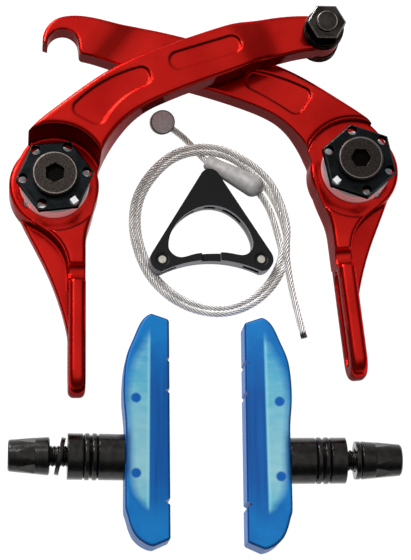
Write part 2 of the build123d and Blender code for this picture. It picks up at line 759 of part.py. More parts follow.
def core_slot(region, low, high, centre_y):
    """One stretch of a rim where the core is set back."""
    with BuildSketch(mode=Mode.PRIVATE) as slot:
        add(region.sketch)
        with Locations(((low + high) / 2, centre_y)):
            Rectangle(high - low, HANGER_APEX[1] - HANGER_BOW[1], mode=Mode.INTERSECT)
    return slot


def hanger_core():
    """The layer between the plates, set back in short slots along the opening and the bar."""
    with BuildPart() as core:
        with BuildSketch(Plane.XY.offset(HANGER_PLATE)):
            hanger_outline()
            for low, high in HANGER_EYE_SLOTS:
                add(core_slot(hanger_eye(HANGER_INSET), low, high, HANGER_APEX[1]).sketch, mode=Mode.SUBTRACT)
            for low, high in HANGER_BAR_SLOTS:
                add(core_slot(below_bow(HANGER_INSET), low, high, 0).sketch, mode=Mode.SUBTRACT)
        extrude(amount=HANGER_CORE)
    return core


def hanger_pin(centre):
    """A pin through the plates and the core, its head sunk in the front plate."""
    with BuildPart() as pin:
        with Locations((*centre, (HANGER_H - HANGER_SINK / 2) / 2)):
            Cylinder(HANGER_PIN_R, HANGER_H - HANGER_SINK / 2)
    return pin


def pad_block():
    """The moulded friction block, open for its insert and stud."""
    notch = [(0, 0), (2 * NOTCH_DEPTH, NOTCH_WIDTH), (2 * NOTCH_DEPTH, -NOTCH_WIDTH)]
    with BuildPart() as block:
        with BuildSketch():
            with BuildLine():
                lower = Spline(*PAD_LOWER_BACK, tangents=[(-1, 0), (0, 1)])
                upper = Spline(*PAD_UPPER_BACK, tangents=[(0, 1), (1, 0.2)])
                Line(lower @ 1, upper @ 0)
                Polyline(upper @ 1, *PAD_FACE, lower @ 0)
            make_face()
            fillet(vertices().group_by(Axis.X)[-1] + vertices().sort_by_distance(PAD_FACE[0])[0:1], PAD_CORNER_R)
        extrude(amount=PAD_HALF, both=True)
        with BuildSketch(Plane.XZ):
            with BuildLine():
                Polyline(
                    (PAD_FACE[1][0], PAD_FACE_HALF),
                    (0, PAD_HALF),
                    (-PAD_HALF, PAD_HALF),
                    (-PAD_HALF, -PAD_HALF),
                    (0, -PAD_HALF),
                    (PAD_FACE[1][0], -PAD_FACE_HALF),
                    close=True,
                )
            make_face()
        extrude(amount=4 * PAD_UPPER_BACK[-1][1], both=True, mode=Mode.INTERSECT)
        sides = [f for f in block.faces() if abs(f.normal_at().Z) > 0.9]
        fillet(ShapeList(e for f in sides for e in f.edges() if e.position_at(0.5).X > 0.05), PAD_EDGE_R)
        with BuildSketch(Plane.XY.offset(-2 * PAD_HALF)):
            for place in NOTCHES:
                with Locations((PAD_FACE[1][0] - NOTCH_DEPTH, place)):
                    Polygon(*notch, align=None)
        extrude(amount=4 * PAD_HALF, mode=Mode.SUBTRACT)
        add(pad_insert().part, mode=Mode.SUBTRACT)
        with BuildSketch(Plane.YZ.offset(-1)):
            Circle(M6_R)
        extrude(amount=INSERT_X[0] + 1, mode=Mode.SUBTRACT)
    return block


def pad_insert():
    """The stiffening insert inside the block, lens shaped at its top, with two holes."""
    middle_x = (INSERT_X[0] + INSERT_X[1]) / 2
    top = INSERT_Y[1] - 2 * INSERT_BOW
    with BuildPart() as insert:
        with BuildSketch(Plane.XY.offset(-INSERT_HALF)):
            with BuildLine():
                Polyline((INSERT_X[0], top), (INSERT_X[0], INSERT_Y[0]), (INSERT_X[1], INSERT_Y[0]), (INSERT_X[1], top))
                ThreePointArc((INSERT_X[1], top), (middle_x, INSERT_Y[1]), (INSERT_X[0], top))
            make_face()
            with Locations([(middle_x, y) for y in INSERT_HOLES]):
                Circle(INSERT_HOLE_R, mode=Mode.SUBTRACT)
        extrude(amount=2 * INSERT_HALF)
    return insert


def pad_stud():
    """The threaded stud that leaves the block's back."""
    with BuildPart() as stud:
        with BuildSketch(Plane.YZ.offset(STUD_END)):
            Circle(M6_R)
        extrude(amount=INSERT_X[0] - STUD_END)
        chamfer(stud.edges().group_by(Axis.X)[0], BOLT_EDGE)
    return stud


def turned(points, hollow=None):
    """A ring turned about the stud: its section runs along X, one side may be part of a ball."""
    with BuildPart() as piece:
        with BuildSketch():
            with BuildLine():
                if hollow:
                    ThreePointArc(points[-1], hollow, points[0])
                    Polyline(*points)
                else:
                    Polyline(*points, close=True)
            make_face()
        revolve(axis=Axis.X)
    return piece


def ball_x(rim_x, side, radius):
    """Where the ball that passes the rim circle has the given radius, on the stud's line."""
    depth = math.sqrt(BALL_R**2 - radius**2) - math.sqrt(BALL_R**2 - BALL_RIM_R**2)
    return rim_x + side * depth


def cup_and_dome(rim, back, flat, side):
    """A cup washer and the dome washer that turns in it. Side is +1 when the cup opens to -X."""
    middle_r = (WASHER_BORE_R + BALL_RIM_R) / 2
    inner = (ball_x(rim, side, WASHER_BORE_R), WASHER_BORE_R)
    bend = (ball_x(rim, side, middle_r), middle_r)
    cup = turned([(rim, BALL_RIM_R), (rim, WASHER_R), (back, WASHER_R), (back, WASHER_BORE_R), inner], bend)
    edge = side * DOME_EDGE
    near = rim - side * DOME_GAP
    dome = turned(
        [
            (rim, BALL_RIM_R),
            (near, BALL_RIM_R),
            (near - edge, DOME_R),
            (flat + edge, DOME_R),
            (flat, DOME_R - DOME_EDGE),
            (flat, WASHER_BORE_R),
            inner,
        ],
        bend,
    )
    return cup, dome


def flat_washer(x, tilt):
    """The thin washer that hangs loose on the stud."""
    with BuildPart() as washer:
        with Locations(Location((x, 0, 0), (0, 0, tilt)) * Location((0, 0, 0), (0, 90, 0))):
            Cylinder(FLAT_WASHER_R, FLAT_WASHER_THICK)
            Cylinder(WASHER_BORE_R, 2 * FLAT_WASHER_THICK, mode=Mode.SUBTRACT)
    return washer


def stud_nut():
    """The tapered nut at the stud's end, driven by a hexagon socket."""
    with BuildPart() as nut:
        with BuildSketch():
            with BuildLine():
                Polyline(
                    (NUT_START, M6_R + M6_CLEARANCE),
                    (NUT_START, NUT_BASE_R - NUT_EDGE),
                    (NUT_START - NUT_EDGE, NUT_BASE_R),
                    (NUT_END + NUT_EDGE, NUT_END_R),
                    (NUT_END, NUT_END_R - NUT_EDGE),
                    (NUT_END, 0),
                    (NUT_START - NUT_BORE, 0),
                    (NUT_START - NUT_BORE, M6_R + M6_CLEARANCE),
                    close=True,
                )
            make_face()
        revolve(axis=Axis.X)
        with BuildSketch(Plane.YZ.offset(NUT_END)):
            Circle(2 * NUT_BASE_R)
            RegularPolygon(NUT_FLATS / 2, 6, major_radius=False, mode=Mode.SUBTRACT)
        extrude(amount=NUT_START - NUT_COLLAR - NUT_END, mode=Mode.SUBTRACT)
        with BuildSketch(Plane.YZ.offset(NUT_END)):
            RegularPolygon(SOCKET_FLATS / 2, 6, major_radius=False)
        extrude(amount=NUT_SOCKET, mode=Mode.SUBTRACT)
    return nut


def pad_pieces(washer, nut_shift):
    """Every piece of one pad in the pad's own frame, by name."""
    thick_cup, inner_dome = cup_and_dome(CUP_RIM, PAD_LOWER_BACK[-1][0], DOME_FLAT, 1)
    thin_cup, outer_dome = cup_and_dome(THIN_CUP_RIM, THIN_CUP_END, DOME_FLAT, -1)
    return {
        "pad_block": pad_block(),
        "pad_insert": pad_insert(),
        "pad_stud": pad_stud(),
        "thick_cup_washer": thick_cup,
        "inner_dome_washer": inner_dome,
        "outer_dome_washer": outer_dome,
        "thin_cup_washer": thin_cup,
        "flat_washer": flat_washer(*washer),
        "stud_nut": placed(stud_nut(), Location((nut_shift, 0, 0))),
    }


# Arms and their pivots
left_place = about_pivot(LEFT_PIVOT, LEFT_TURN)
save(placed(left_arm(), left_place), "left_arm")
save(placed(right_arm(), about_pivot(RIGHT_PIVOT, RIGHT_TURN), mirrored=True), "right_arm")
for side, pivot, plate_angle, leg_angle, socket_angle in (
    ("left", LEFT_PIVOT, LEFT_ADJUSTER_ANGLE, LEFT_LEG_ANGLE, LEFT_SOCKET_ANGLE),
    ("right", RIGHT_PIVOT, RIGHT_ADJUSTER_ANGLE, RIGHT_LEG_ANGLE, RIGHT_SOCKET_ANGLE),
):
    upright = about_pivot(pivot)
    save(placed(pivot_bush(), upright), f"{side}_pivot_bush")
    save(placed(tension_adjuster(plate_angle), upright), f"{side}_tension_adjuster")
    save(placed(pivot_bolt(socket_angle), upright), f"{side}_pivot_bolt")
    mirrored = side == "right"
    spring_place = about_pivot(pivot, leg_angle + 180 if mirrored else leg_angle)
    save(placed(return_spring(), spring_place, mirrored), f"{side}_return_spring")

# Cable anchor
anchor_place = left_place * Location((*EYE, 0))
rear_top = ANCHOR_TOP + ANCHOR_REAR_WASHER[1]
bore = M6_R + M6_CLEARANCE
save(placed(anchor_bolt(), anchor_place), "anchor_bolt")
save(placed(ring(*ANCHOR_REAR_WASHER, ANCHOR_TOP, bore), anchor_place), "anchor_rear_washer")
save(placed(ring(*ANCHOR_FRONT_WASHER, rear_top, bore), anchor_place), "anchor_front_washer")
save(placed(anchor_nut(), anchor_place), "anchor_nut")

# Straddle cable
save(nipple(), "cable_nipple")
save(cable_run(LEAD_ROUTE), "cable_lead")
save(sleeve(), "cable_sleeve")
save(cable_run(TURN_ROUTE), "cable_turn")
save(coil(), "cable_coil")
save(cable_run(TAIL_ROUTE), "cable_tail")

# Cable hanger, lifted on its left side
leaning = Location((HANGER_FOOT_X, 0, 0), (0, HANGER_LEAN, 0)) * Location((-HANGER_FOOT_X, 0, 0))
save(placed(hanger_rear_plate(), leaning), "hanger_rear_plate")
save(placed(hanger_core(), leaning), "hanger_core")
save(placed(hanger_front_plate(), leaning), "hanger_front_plate")
save(placed(hanger_pin(HANGER_LEFT), leaning), "hanger_left_pin")
save(placed(hanger_pin(HANGER_RIGHT), leaning), "hanger_right_pin")

# Brake pads
for side, centre, turn, washer, nut_shift in (
    ("left", LEFT_PAD, 0, LEFT_FLAT_WASHER, 0),
    ("right", RIGHT_PAD, RIGHT_PAD_TURN, RIGHT_FLAT_WASHER, RIGHT_NUT_SHIFT),
):
    pad_place = Location((*centre, STUD_AXIS_Z), (0, 0, turn))
    for name, piece in pad_pieces(washer, nut_shift).items():
        save(placed(piece, pad_place, mirrored=side == "right"), f"{side}_{name}")
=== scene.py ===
import bpy
import json
import math
from mathutils import Matrix, Vector


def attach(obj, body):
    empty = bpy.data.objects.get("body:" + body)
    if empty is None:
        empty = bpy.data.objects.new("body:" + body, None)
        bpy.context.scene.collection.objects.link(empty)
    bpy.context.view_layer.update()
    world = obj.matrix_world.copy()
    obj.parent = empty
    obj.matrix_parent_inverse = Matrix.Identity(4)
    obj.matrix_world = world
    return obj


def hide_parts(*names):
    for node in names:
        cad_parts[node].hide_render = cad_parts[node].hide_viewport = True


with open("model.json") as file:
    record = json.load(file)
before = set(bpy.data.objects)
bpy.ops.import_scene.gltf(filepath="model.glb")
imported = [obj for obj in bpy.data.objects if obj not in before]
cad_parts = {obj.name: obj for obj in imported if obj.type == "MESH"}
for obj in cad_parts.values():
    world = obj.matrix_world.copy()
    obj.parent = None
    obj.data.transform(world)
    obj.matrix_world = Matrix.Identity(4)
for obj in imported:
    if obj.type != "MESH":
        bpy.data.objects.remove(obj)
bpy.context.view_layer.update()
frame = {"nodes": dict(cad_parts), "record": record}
nodes = frame["nodes"]

# Place of the drawing's origin in the row frame, in the drawing's millimetres
SHIFT = (0.9, 1.43, 0.0)
WHITE = (1, 1, 1)


def at(x, y, z=0.0):
    """A point of the drawing, in metres."""
    return Vector([(value + shift) / 1000 for value, shift in zip((x, y, z), SHIFT)])


def opaque(colour):
    """A colour tuple with its alpha; an output of a node stays as it is."""
    return (*colour, 1.0) if isinstance(colour, tuple) else colour


def show(name, data):
    """A new object in the scene."""
    thing = bpy.data.objects.new(name, data)
    bpy.context.scene.collection.objects.link(thing)
    return thing


CAMERA_DISTANCE = 620.0
CAMERA_TILT_X = math.radians(5.0)
CAMERA_TILT_Y = math.radians(14.5)
CAMERA_SENSOR = 36.0
CAMERA_LENS = 139.5
CAMERA_CLIP = 0.05

camera_data = bpy.data.cameras.new("camera")
camera_data.sensor_fit = "VERTICAL"
camera_data.sensor_height = CAMERA_SENSOR
camera_data.lens = CAMERA_LENS
camera_data.clip_start = CAMERA_CLIP
camera = show("camera", camera_data)
camera.location = at(
    -CAMERA_DISTANCE * math.sin(CAMERA_TILT_X),
    -CAMERA_DISTANCE * math.sin(CAMERA_TILT_Y) * math.cos(CAMERA_TILT_X),
    CAMERA_DISTANCE * math.cos(CAMERA_TILT_Y) * math.cos(CAMERA_TILT_X),
)
forward = (at(0, 0) - camera.location).normalized()
right = forward.cross(Vector((0, 1, 0))).normalized()
up = right.cross(forward)
camera.rotation_euler = Matrix((right, up, -forward)).transposed().to_euler()
bpy.context.scene.camera = camera

# Straddle cable, in the drawing's millimetres: its route leads from the nipple into the sleeve,
# turns from there into the coil, goes round it twice and ends in the tail
LEAD = [(-11.4, 44.9, 3.4), (-7.6, 43.0, 1.7), (-4.2, 39.9, 0.95), (-1.2, 36.2, 1.6), (1.2, 33.7, 2.4)]
TURN = [(14.3, 26.5, 3.1), (17.6, 22.6, 1.6), (19.7, 17.6, 0.95), (21.1, 11.9, 0.95)]
TAIL = [(22.9, 9.0, 2.4), (23.7, 2.6, 1.6), (24.8, -3.6, 0.95), (26.4, -10.0, 0.95), (28.1, -16.6, 0.95)]

# Coil: radius of the bundle's middle at every step, counter-clockwise from the drawing's x axis
COIL_CENTRE = (1.65, 15.3)
COIL_STEP = 20
COIL_SWEEP = 720
COIL_RADII = [
    20.8, 20.2, 20.8, 21.2, 22.3, 23.1, 23.4, 22.9, 22.6,
    22.0, 21.75, 22.5, 23.3, 24.2, 24.9, 24.4, 23.5, 22.3,
]
HALF_BUNDLE = 0.82

# Degrees of the sweep between which the cable steps from the inner turn to the outer one
STEP_OUT = (320, 380)

# Height of the cable's middle, and its rises over the lead and over the coil's own start: the angle
# of each, its rise, and the distances in degrees within which it is whole and beyond which it is nil
LIE_Z = 0.95
LEAD_ANGLE = 101
LEAD_RISE = 2.1
LEAD_SPAN = (18, 40)
START_TURNED = COIL_SWEEP - 20
START_RISE = 1.9
START_SPAN = (30, 75)

# Strands over a core: their outer radius, a strand's share of it, and the lay
STRANDS = 7
STRANDS_R = 0.98
STRAND_SHARE = 0.315
STRAND_SIDES = 8
LAY_PITCH = 9.0
LINE_STEP = 0.6
SPLINE_STEPS = 10


def eased(value, low, high):
    """0 below low, 1 above high and a straight line between them."""
    return max(0.0, min(1.0, (value - low) / (high - low)))


def coil_points():
    """The cable's two turns, clockwise, the second outside the first and over it where it ends."""
    corner = math.cos(math.radians(COIL_STEP / 2))
    points = []
    for turned in range(COIL_STEP, COIL_SWEEP + COIL_STEP, COIL_STEP):
        angle = -turned % 360
        offset = HALF_BUNDLE * (2 * eased(turned, *STEP_OUT) - 1)
        radius = (COIL_RADII[angle // COIL_STEP] + offset) / corner
        over_lead = LEAD_RISE * (1 - eased(abs(angle - LEAD_ANGLE), *LEAD_SPAN))
        over_start = START_RISE * (1 - eased(abs(turned - START_TURNED), *START_SPAN))
        points.append(
            (
                COIL_CENTRE[0] + radius * math.cos(math.radians(angle)),
                COIL_CENTRE[1] + radius * math.sin(math.radians(angle)),
                LIE_Z + max(over_lead, over_start),
            )
        )
    return points


def spline_points(route, name):
    """Points read from the smooth NURBS line that has the route as its control points."""
    data = bpy.data.curves.new(name, "CURVE")
    data.dimensions = "3D"
    spline = data.splines.new("NURBS")
    spline.points.add(len(route) - 1)
    for point, place in zip(spline.points, route):
        point.co = (*at(*place), 1.0)
    spline.order_u = 3
    spline.use_endpoint_u = True
    spline.resolution_u = SPLINE_STEPS
    curve = show(name, data)
    bpy.context.view_layer.update()
    mesh = bpy.data.meshes.new_from_object(curve)
    points = [v.co.copy() for v in mesh.vertices]
    bpy.data.objects.remove(curve)
    return points


def evenly(points, step):
    """The same line with points a fixed distance apart."""
    out = [points[0]]
    left = step
    for a, b in zip(points, points[1:]):
        run = (b - a).length
        while run > left:
            a = a.lerp(b, left / run)
            out.append(a.copy())
            run = (b - a).length
            left = step
        left -= run
    out.append(points[-1])
    return out


def frames_along(points):
    """Two directions across a line at each of its points, carried along without twist."""
    tangents = []
    for i in range(len(points)):
        ahead = points[min(i + 1, len(points) - 1)] - points[max(i - 1, 0)]
        tangents.append(ahead.normalized())
    side = tangents[0].orthogonal().normalized()
    out = []
    for tangent in tangents:
        side = (side - tangent * side.dot(tangent)).normalized()
        out.append((side.copy(), tangent.cross(side)))
    return out


def mesh_of(name, vertices, faces):
    """A smooth mesh from points and faces."""
    mesh = bpy.data.meshes.new(name)
    mesh.from_pydata([tuple(v) for v in vertices], [], faces)
    mesh.update()
    mesh.shade_smooth()
    return mesh


def around(sides):
    """Angles of a ring's points."""
    return [2 * math.pi * j / sides for j in range(sides)]


def tube_faces(base, rows, sides):
    """Faces of a tube of equal rings, closed at both ends."""
    faces = []
    for i in range(rows - 1):
        row = base + i * sides
        for j in range(sides):
            k = (j + 1) % sides
            faces.append((row + j, row + k, row + sides + k, row + sides + j))
    faces.append(tuple(base + j for j in reversed(range(sides))))
    end = base + (rows - 1) * sides
    faces.append(tuple(end + j for j in range(sides)))
    return faces


def stranded(name, points):
    """Strands laid round a line as a helix over a core, with how far out each point lies."""
    across = frames_along(points)
    step = (points[1] - points[0]).length
    pitch = LAY_PITCH / 1000
    strand_r = STRANDS_R / 1000 * STRAND_SHARE
    middle_r = STRANDS_R / 1000 - strand_r
    core_r = middle_r - strand_r / 2
    vertices = []
    faces = []
    crest = []
    for strand in range(STRANDS):
        faces += tube_faces(len(vertices), len(points), STRAND_SIDES)
        for i, (point, (u, v)) in enumerate(zip(points, across)):
            laid = 2 * math.pi * (strand / STRANDS + i * step / pitch)
            out = u * math.cos(laid) + v * math.sin(laid)
            beside = v * math.cos(laid) - u * math.sin(laid)
            centre = point + out * middle_r
            for b in around(STRAND_SIDES):
                vertices.append(centre + out * (strand_r * math.cos(b)) + beside * (strand_r * math.sin(b)))
                crest.append(0.5 + 0.5 * math.cos(b))
    faces += tube_faces(len(vertices), len(points), STRAND_SIDES)
    for point, (u, v) in zip(points, across):
        for b in around(STRAND_SIDES):
            vertices.append(point + (u * math.cos(b) + v * math.sin(b)) * core_r)
            crest.append(0.0)
    mesh = mesh_of(name, vertices, faces)
    mesh.attributes.new("crest", "FLOAT", "POINT").data.foreach_set("value", crest)
    return mesh


def link(name, mesh, body):
    """A new piece that rides on a CAD body."""
    piece = show(name, mesh)
    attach(piece, body)
    return piece


route = LEAD + TURN + coil_points() + TAIL
line = evenly(spline_points(route, "cable_line"), LINE_STEP / 1000)
cable = link("straddle_cable", stranded("straddle_cable", line), "layout")
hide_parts("cable_lead", "cable_turn", "cable_coil", "cable_tail")

# Pads: the drawing's centre, the turn in degrees and the side that the pad's own x axis points to
PADS = {"left": ((-23.8, -52.7), 0.0, 1), "right": ((23.3, -53.0), 1.3, -1)}

# Pad studs along the pad's own x axis, in millimetres: both ends, height, and thread
STUD_X = (-25.6, 2.6)
STUD_Z = 6.5
THREAD_ROOT_R = 2.55
THREAD_CREST_R = 3.0
THREAD_PITCH = 1.0
THREAD_SIDES = 24
ROWS_PER_TURN = 8


def pad_point(side, x, y, z):
    """A point of a pad's own frame, in metres."""
    (cx, cy), turned, mirror = PADS[side]
    angle = math.radians(turned)
    x *= mirror
    return at(
        cx + x * math.cos(angle) - y * math.sin(angle),
        cy + x * math.sin(angle) + y * math.cos(angle),
        z,
    )


def stud_thread(side):
    """A threaded rod along the pad's own x axis."""
    low, high = STUD_X
    rows = int((high - low) / THREAD_PITCH * ROWS_PER_TURN) + 1
    vertices = []
    for i in range(rows):
        x = low + (high - low) * i / (rows - 1)
        for j, a in enumerate(around(THREAD_SIDES)):
            phase = (x / THREAD_PITCH + j / THREAD_SIDES) % 1.0
            crest = 1 - abs(2 * phase - 1)
            r = THREAD_ROOT_R + (THREAD_CREST_R - THREAD_ROOT_R) * crest
            vertices.append(pad_point(side, x, r * math.cos(a), STUD_Z + r * math.sin(a)))
    return mesh_of(f"{side}_stud_thread", vertices, tube_faces(0, rows, THREAD_SIDES))


threads = []
for side in PADS:
    threads.append(link(f"{side}_stud_thread", stud_thread(side), "layout"))
    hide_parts(f"{side}_pad_stud")

# Values of a noise between which a tone drifts from its first to its last, and a roughness or a wave
TONE_SPREAD = (0.35, 0.65)
WIDE_SPREAD = (0.3, 0.7)

# How far up the faces look that count as bevels for the painted edge highlight, and the softness of the
# bounds
BEVEL_SLOPES = (0.6, 0.93)
BEVEL_SOFT = 0.03
BEVEL_SAMPLES = 8


class Nodes:
    """A node tree that grows by methods. Each gives the output of what it added."""

    def __init__(self, tree):
        self.tree = tree

    def feed(self, socket, value):
        """Links an output to a socket, or sets the socket to a constant."""
        if isinstance(value, bpy.types.NodeSocket):
            self.tree.links.new(value, socket)
        else:
            socket.default_value = value

    def add(self, kind, inputs=None, **settings):
        """A new node with its settings and its inputs."""
        node = self.tree.nodes.new(kind)
        for key, value in settings.items():
            setattr(node, key, value)
        for key, value in (inputs or {}).items():
            self.feed(node.inputs[key], value)
        return node

    def split(self, vector):
        """The three parts of a vector."""
        return self.add("ShaderNodeSeparateXYZ", {"Vector": vector}).outputs

    def maths(self, operation, first, second=0.0):
        """A sum of two values, or another operation on them."""
        return self.add("ShaderNodeMath", {0: first, 1: second}, operation=operation).outputs["Value"]

    def product(self, first, *others):
        """All the values multiplied."""
        for other in others:
            first = self.maths("MULTIPLY", first, other)
        return first

    def vector(self, operation, first, second=None):
        """A difference of two vectors, or another operation on them."""
        inputs = {0: first} if second is None else {0: first, 1: second}
        return self.add("ShaderNodeVectorMath", inputs, operation=operation).outputs

    def over(self, value, low, high, first=0.0, last=1.0):
        """A value spread from the first at low to the last at high, and held beyond them."""
        inputs = {"Value": value, "From Min": low, "From Max": high, "To Min": first, "To Max": last}
        return self.add("ShaderNodeMapRange", inputs).outputs["Result"]

    def ramp(self, value, stops):
        """A colour ramp over a value, its stops given in rising order."""
        node = self.add("ShaderNodeValToRGB", {"Fac": value})
        elements = node.color_ramp.elements
        elements[-1].position = stops[-1][0]
        elements[0].position = stops[0][0]
        for position, colour in stops[1:-1]:
            elements.new(position)
        for element, (position, colour) in zip(elements, stops):
            element.color = opaque(colour)
        return node.outputs["Color"]

    def curve(self, value, stops, full):
        """A smooth curve over a value, its heights up to the full one."""
        node = self.add("ShaderNodeFloatCurve", {"Value": value})
        points = node.mapping.curves[0].points
        points[0].location = (stops[0][0], stops[0][1] / full)
        points[-1].location = (stops[-1][0], stops[-1][1] / full)
        for position, height in stops[1:-1]:
            points.new(position, height / full)
        node.mapping.update()
        return self.product(node.outputs["Value"], full)


class Finish(Nodes):
    """A Principled material. Where a pattern is painted, the base is only for viewers without it."""

    def __init__(self, name, base, metallic, roughness, coat=0.0, coat_roughness=0.1, specular=0.5,
                 tint=WHITE, glow=0.0):
        self.name = name
        self.material = bpy.data.materials.new(name)
        self.material.use_nodes = True
        super().__init__(self.material.node_tree)
        self.shader = self.tree.nodes["Principled BSDF"].inputs
        self.shader["Base Color"].default_value = opaque(base)
        self.shader["Metallic"].default_value = metallic
        self.shader["Roughness"].default_value = roughness
        self.shader["Coat Weight"].default_value = coat
        self.shader["Coat Roughness"].default_value = coat_roughness
        self.shader["Specular IOR Level"].default_value = specular
        self.shader["Specular Tint"].default_value = opaque(tint)
        self.shader["Emission Color"].default_value = opaque(WHITE)
        self.shader["Emission Strength"].default_value = glow

    def paint(self, colour):
        """Sends a colour to the shader."""
        self.feed(self.shader["Base Color"], colour)

    def place(self):
        """The point of the surface, in the object's own metres."""
        return self.add("ShaderNodeTexCoord").outputs["Object"]

    def noise(self, scale, detail=3.0, stretch=(1, 1, 1)):
        """A noise over the object."""
        mapped = self.add("ShaderNodeMapping", {"Vector": self.place(), "Scale": stretch})
        inputs = {"Vector": mapped.outputs["Vector"], "Scale": scale, "Detail": detail}
        return self.add("ShaderNodeTexNoise", inputs).outputs["Fac"]

    def two_tone(self, scale, first, last, stretch=(1, 1, 1)):
        """A colour that drifts between two tones."""
        low, high = TONE_SPREAD
        return self.ramp(self.noise(scale, stretch=stretch), [(low, first), (high, last)])

    def roughen(self, scale, first, last):
        """A roughness that drifts between two values."""
        self.feed(self.shader["Roughness"], self.over(self.noise(scale), *WIDE_SPREAD, first, last))

    def bump(self, scale, strength, depth=0.0002, edge=0.0):
        """Fine relief, with the object's edges softened over a width; both in metres."""
        inputs = {"Strength": strength, "Distance": depth, "Height": self.noise(scale, detail=4.0)}
        if edge:
            soft = self.add("ShaderNodeBevel", {"Radius": edge}, samples=BEVEL_SAMPLES)
            inputs["Normal"] = soft.outputs["Normal"]
        self.feed(self.shader["Normal"], self.add("ShaderNodeBump", inputs).outputs["Normal"])

    def away(self, centre, stretch=(1, 1, 0)):
        """Distance from a point of the drawing in millimetres, along the stretched axes."""
        offset = self.vector("SUBTRACT", self.place(), at(*centre))["Vector"]
        scaled = self.vector("MULTIPLY", offset, tuple(1000 * s for s in stretch))["Vector"]
        return self.vector("LENGTH", scaled)["Value"]

    def height(self):
        """Height above the floor, in millimetres."""
        return self.product(self.split(self.place())["Z"], 1000.0)

    def upright(self, low=0.35, high=0.65):
        """0 on walls and 1 on faces that look up or down."""
        normal = self.add("ShaderNodeNewGeometry").outputs["Normal"]
        return self.over(self.maths("ABSOLUTE", self.split(normal)["Z"]), low, high)

    def mixed(self, factor, first, second):
        """A mix of two colours, each a tuple or an output, by a value."""
        inputs = {0: factor, 6: opaque(first), 7: opaque(second)}
        return self.add("ShaderNodeMix", inputs, data_type="RGBA").outputs[2]

    def painted_edge_highlight(self, flat, edge):
        """One colour on faces that look up and on walls, and a painted highlight on the bevels between them.
        """
        low, high = BEVEL_SLOPES
        face = self.upright(high - BEVEL_SOFT, high)
        slope = self.upright(low - BEVEL_SOFT, low)
        return self.mixed(slope, flat, self.mixed(face, edge, flat))


# Arms: red anodised; their walls are painted darker as shade, and paler at the foot as a painted
# reflection of the white ground; the foot is given in millimetres above the floor
ARM_FOOT_Z = (3.2, 0.6)

arm_red = Finish("arm_red", (0.56, 0.003, 0.004), metallic=1.0, roughness=0.22, coat=0.1,
                 coat_roughness=0.05, tint=(0.45, 0.035, 0.04))
top = arm_red.two_tone(scale=45, first=(0.46, 0.006, 0.004), last=(0.64, 0.014, 0.009))
foot_reflection = arm_red.over(arm_red.height(), *ARM_FOOT_Z)
painted_wall = arm_red.mixed(foot_reflection, (0.11, 0.0008, 0.0018), (0.24, 0.035, 0.04))
# Walls get the painted shade and reflection, faces that look up get the plain red
arm_red.paint(arm_red.mixed(arm_red.upright(low=0.2, high=0.5), painted_wall, top))
arm_red.bump(scale=700, strength=0.05, edge=0.0011)

# Tension adjusters: black steel with a highlight painted on the bevels
adjuster_black = Finish("adjuster_black", (0.019, 0.023, 0.025), metallic=1.0, roughness=0.33,
                        tint=(0.2, 0.2, 0.2))
top = adjuster_black.two_tone(scale=300, first=(0.007, 0.0085, 0.009), last=(0.013, 0.0155, 0.017))
# Painted highlight on the bevels
adjuster_black.paint(adjuster_black.painted_edge_highlight(top, edge=(0.07, 0.07, 0.07)))
adjuster_black.roughen(scale=500, first=0.26, last=0.42)
adjuster_black.bump(scale=1800, strength=0.12, depth=0.0001, edge=0.00025)

# Pivot bolts, in millimetres round each pivot: a painted highlight ring on the head and painted shade in the
# socket
PIVOTS = {"left": (-43.8, 24.2), "right": (42.0, 31.0)}
RING_INSIDE = (5.72, 5.84)
RING_OUTSIDE = (6.1, 6.02)
SOCKET_R = (3.2, 3.1)
SOCKET_Z = (21.3, 21.0)


def bolt_dark(side):
    """Blackened steel, grained by its tumbling, with a painted highlight ring and painted shade in the
    socket.
    """
    dark = Finish(f"bolt_dark_{side}", (0.03, 0.025, 0.023), metallic=1.0, roughness=0.36)
    away = dark.away(PIVOTS[side])
    # Painted highlight ring on the head's rim
    ring = dark.product(dark.over(away, *RING_INSIDE), dark.over(away, *RING_OUTSIDE))
    # Painted shade deep in the socket
    socket = dark.product(dark.over(away, *SOCKET_R), dark.over(dark.height(), *SOCKET_Z))
    top = dark.two_tone(scale=2600, first=(0.016, 0.013, 0.012), last=(0.046, 0.038, 0.034))
    head = dark.mixed(ring, top, (0.19, 0.165, 0.15))
    dark.paint(dark.mixed(socket, head, (0.004, 0.0035, 0.003)))
    dark.bump(scale=2600, strength=0.35, edge=0.0002)
    return dark.material


# Pivot bushes: plain steel with turning marks
bush_steel = Finish("bush_steel", (0.4, 0.4, 0.41), metallic=1.0, roughness=0.32)
marks = bush_steel.two_tone(scale=800, first=(0.34, 0.34, 0.35), last=(0.46, 0.46, 0.47), stretch=(1, 1, 12))
bush_steel.paint(marks)

# Springs: plated wire; the glow stands for the light that gets between plate and seat
spring_bright = Finish("spring_bright", (0.8, 0.79, 0.78), metallic=0.8, roughness=0.14, glow=0.1)
spring_bright.paint(spring_bright.two_tone(scale=250, first=(0.78, 0.79, 0.82), last=(0.93, 0.94, 0.96)))

# Cable anchor: smoky black nickel, with a highlight painted on its bevels
anchor_grey = Finish("anchor_grey", (0.07, 0.055, 0.05), metallic=1.0, roughness=0.24,
                     tint=(0.3, 0.28, 0.27))
top = anchor_grey.two_tone(scale=260, first=(0.02, 0.017, 0.016), last=(0.055, 0.047, 0.043))
# Painted highlight on the bevels
anchor_grey.paint(anchor_grey.painted_edge_highlight(top, edge=(0.3, 0.28, 0.26)))
anchor_grey.roughen(scale=600, first=0.16, last=0.34)
anchor_grey.bump(scale=900, strength=0.1, edge=0.0002)

# Cable: strands with painted shade in the gaps between them, and a burnt cut end, in millimetres from it
GAP_SHADE_CREST = (0.3, 0.8)
BURNT_END = (2.0, 1.2)

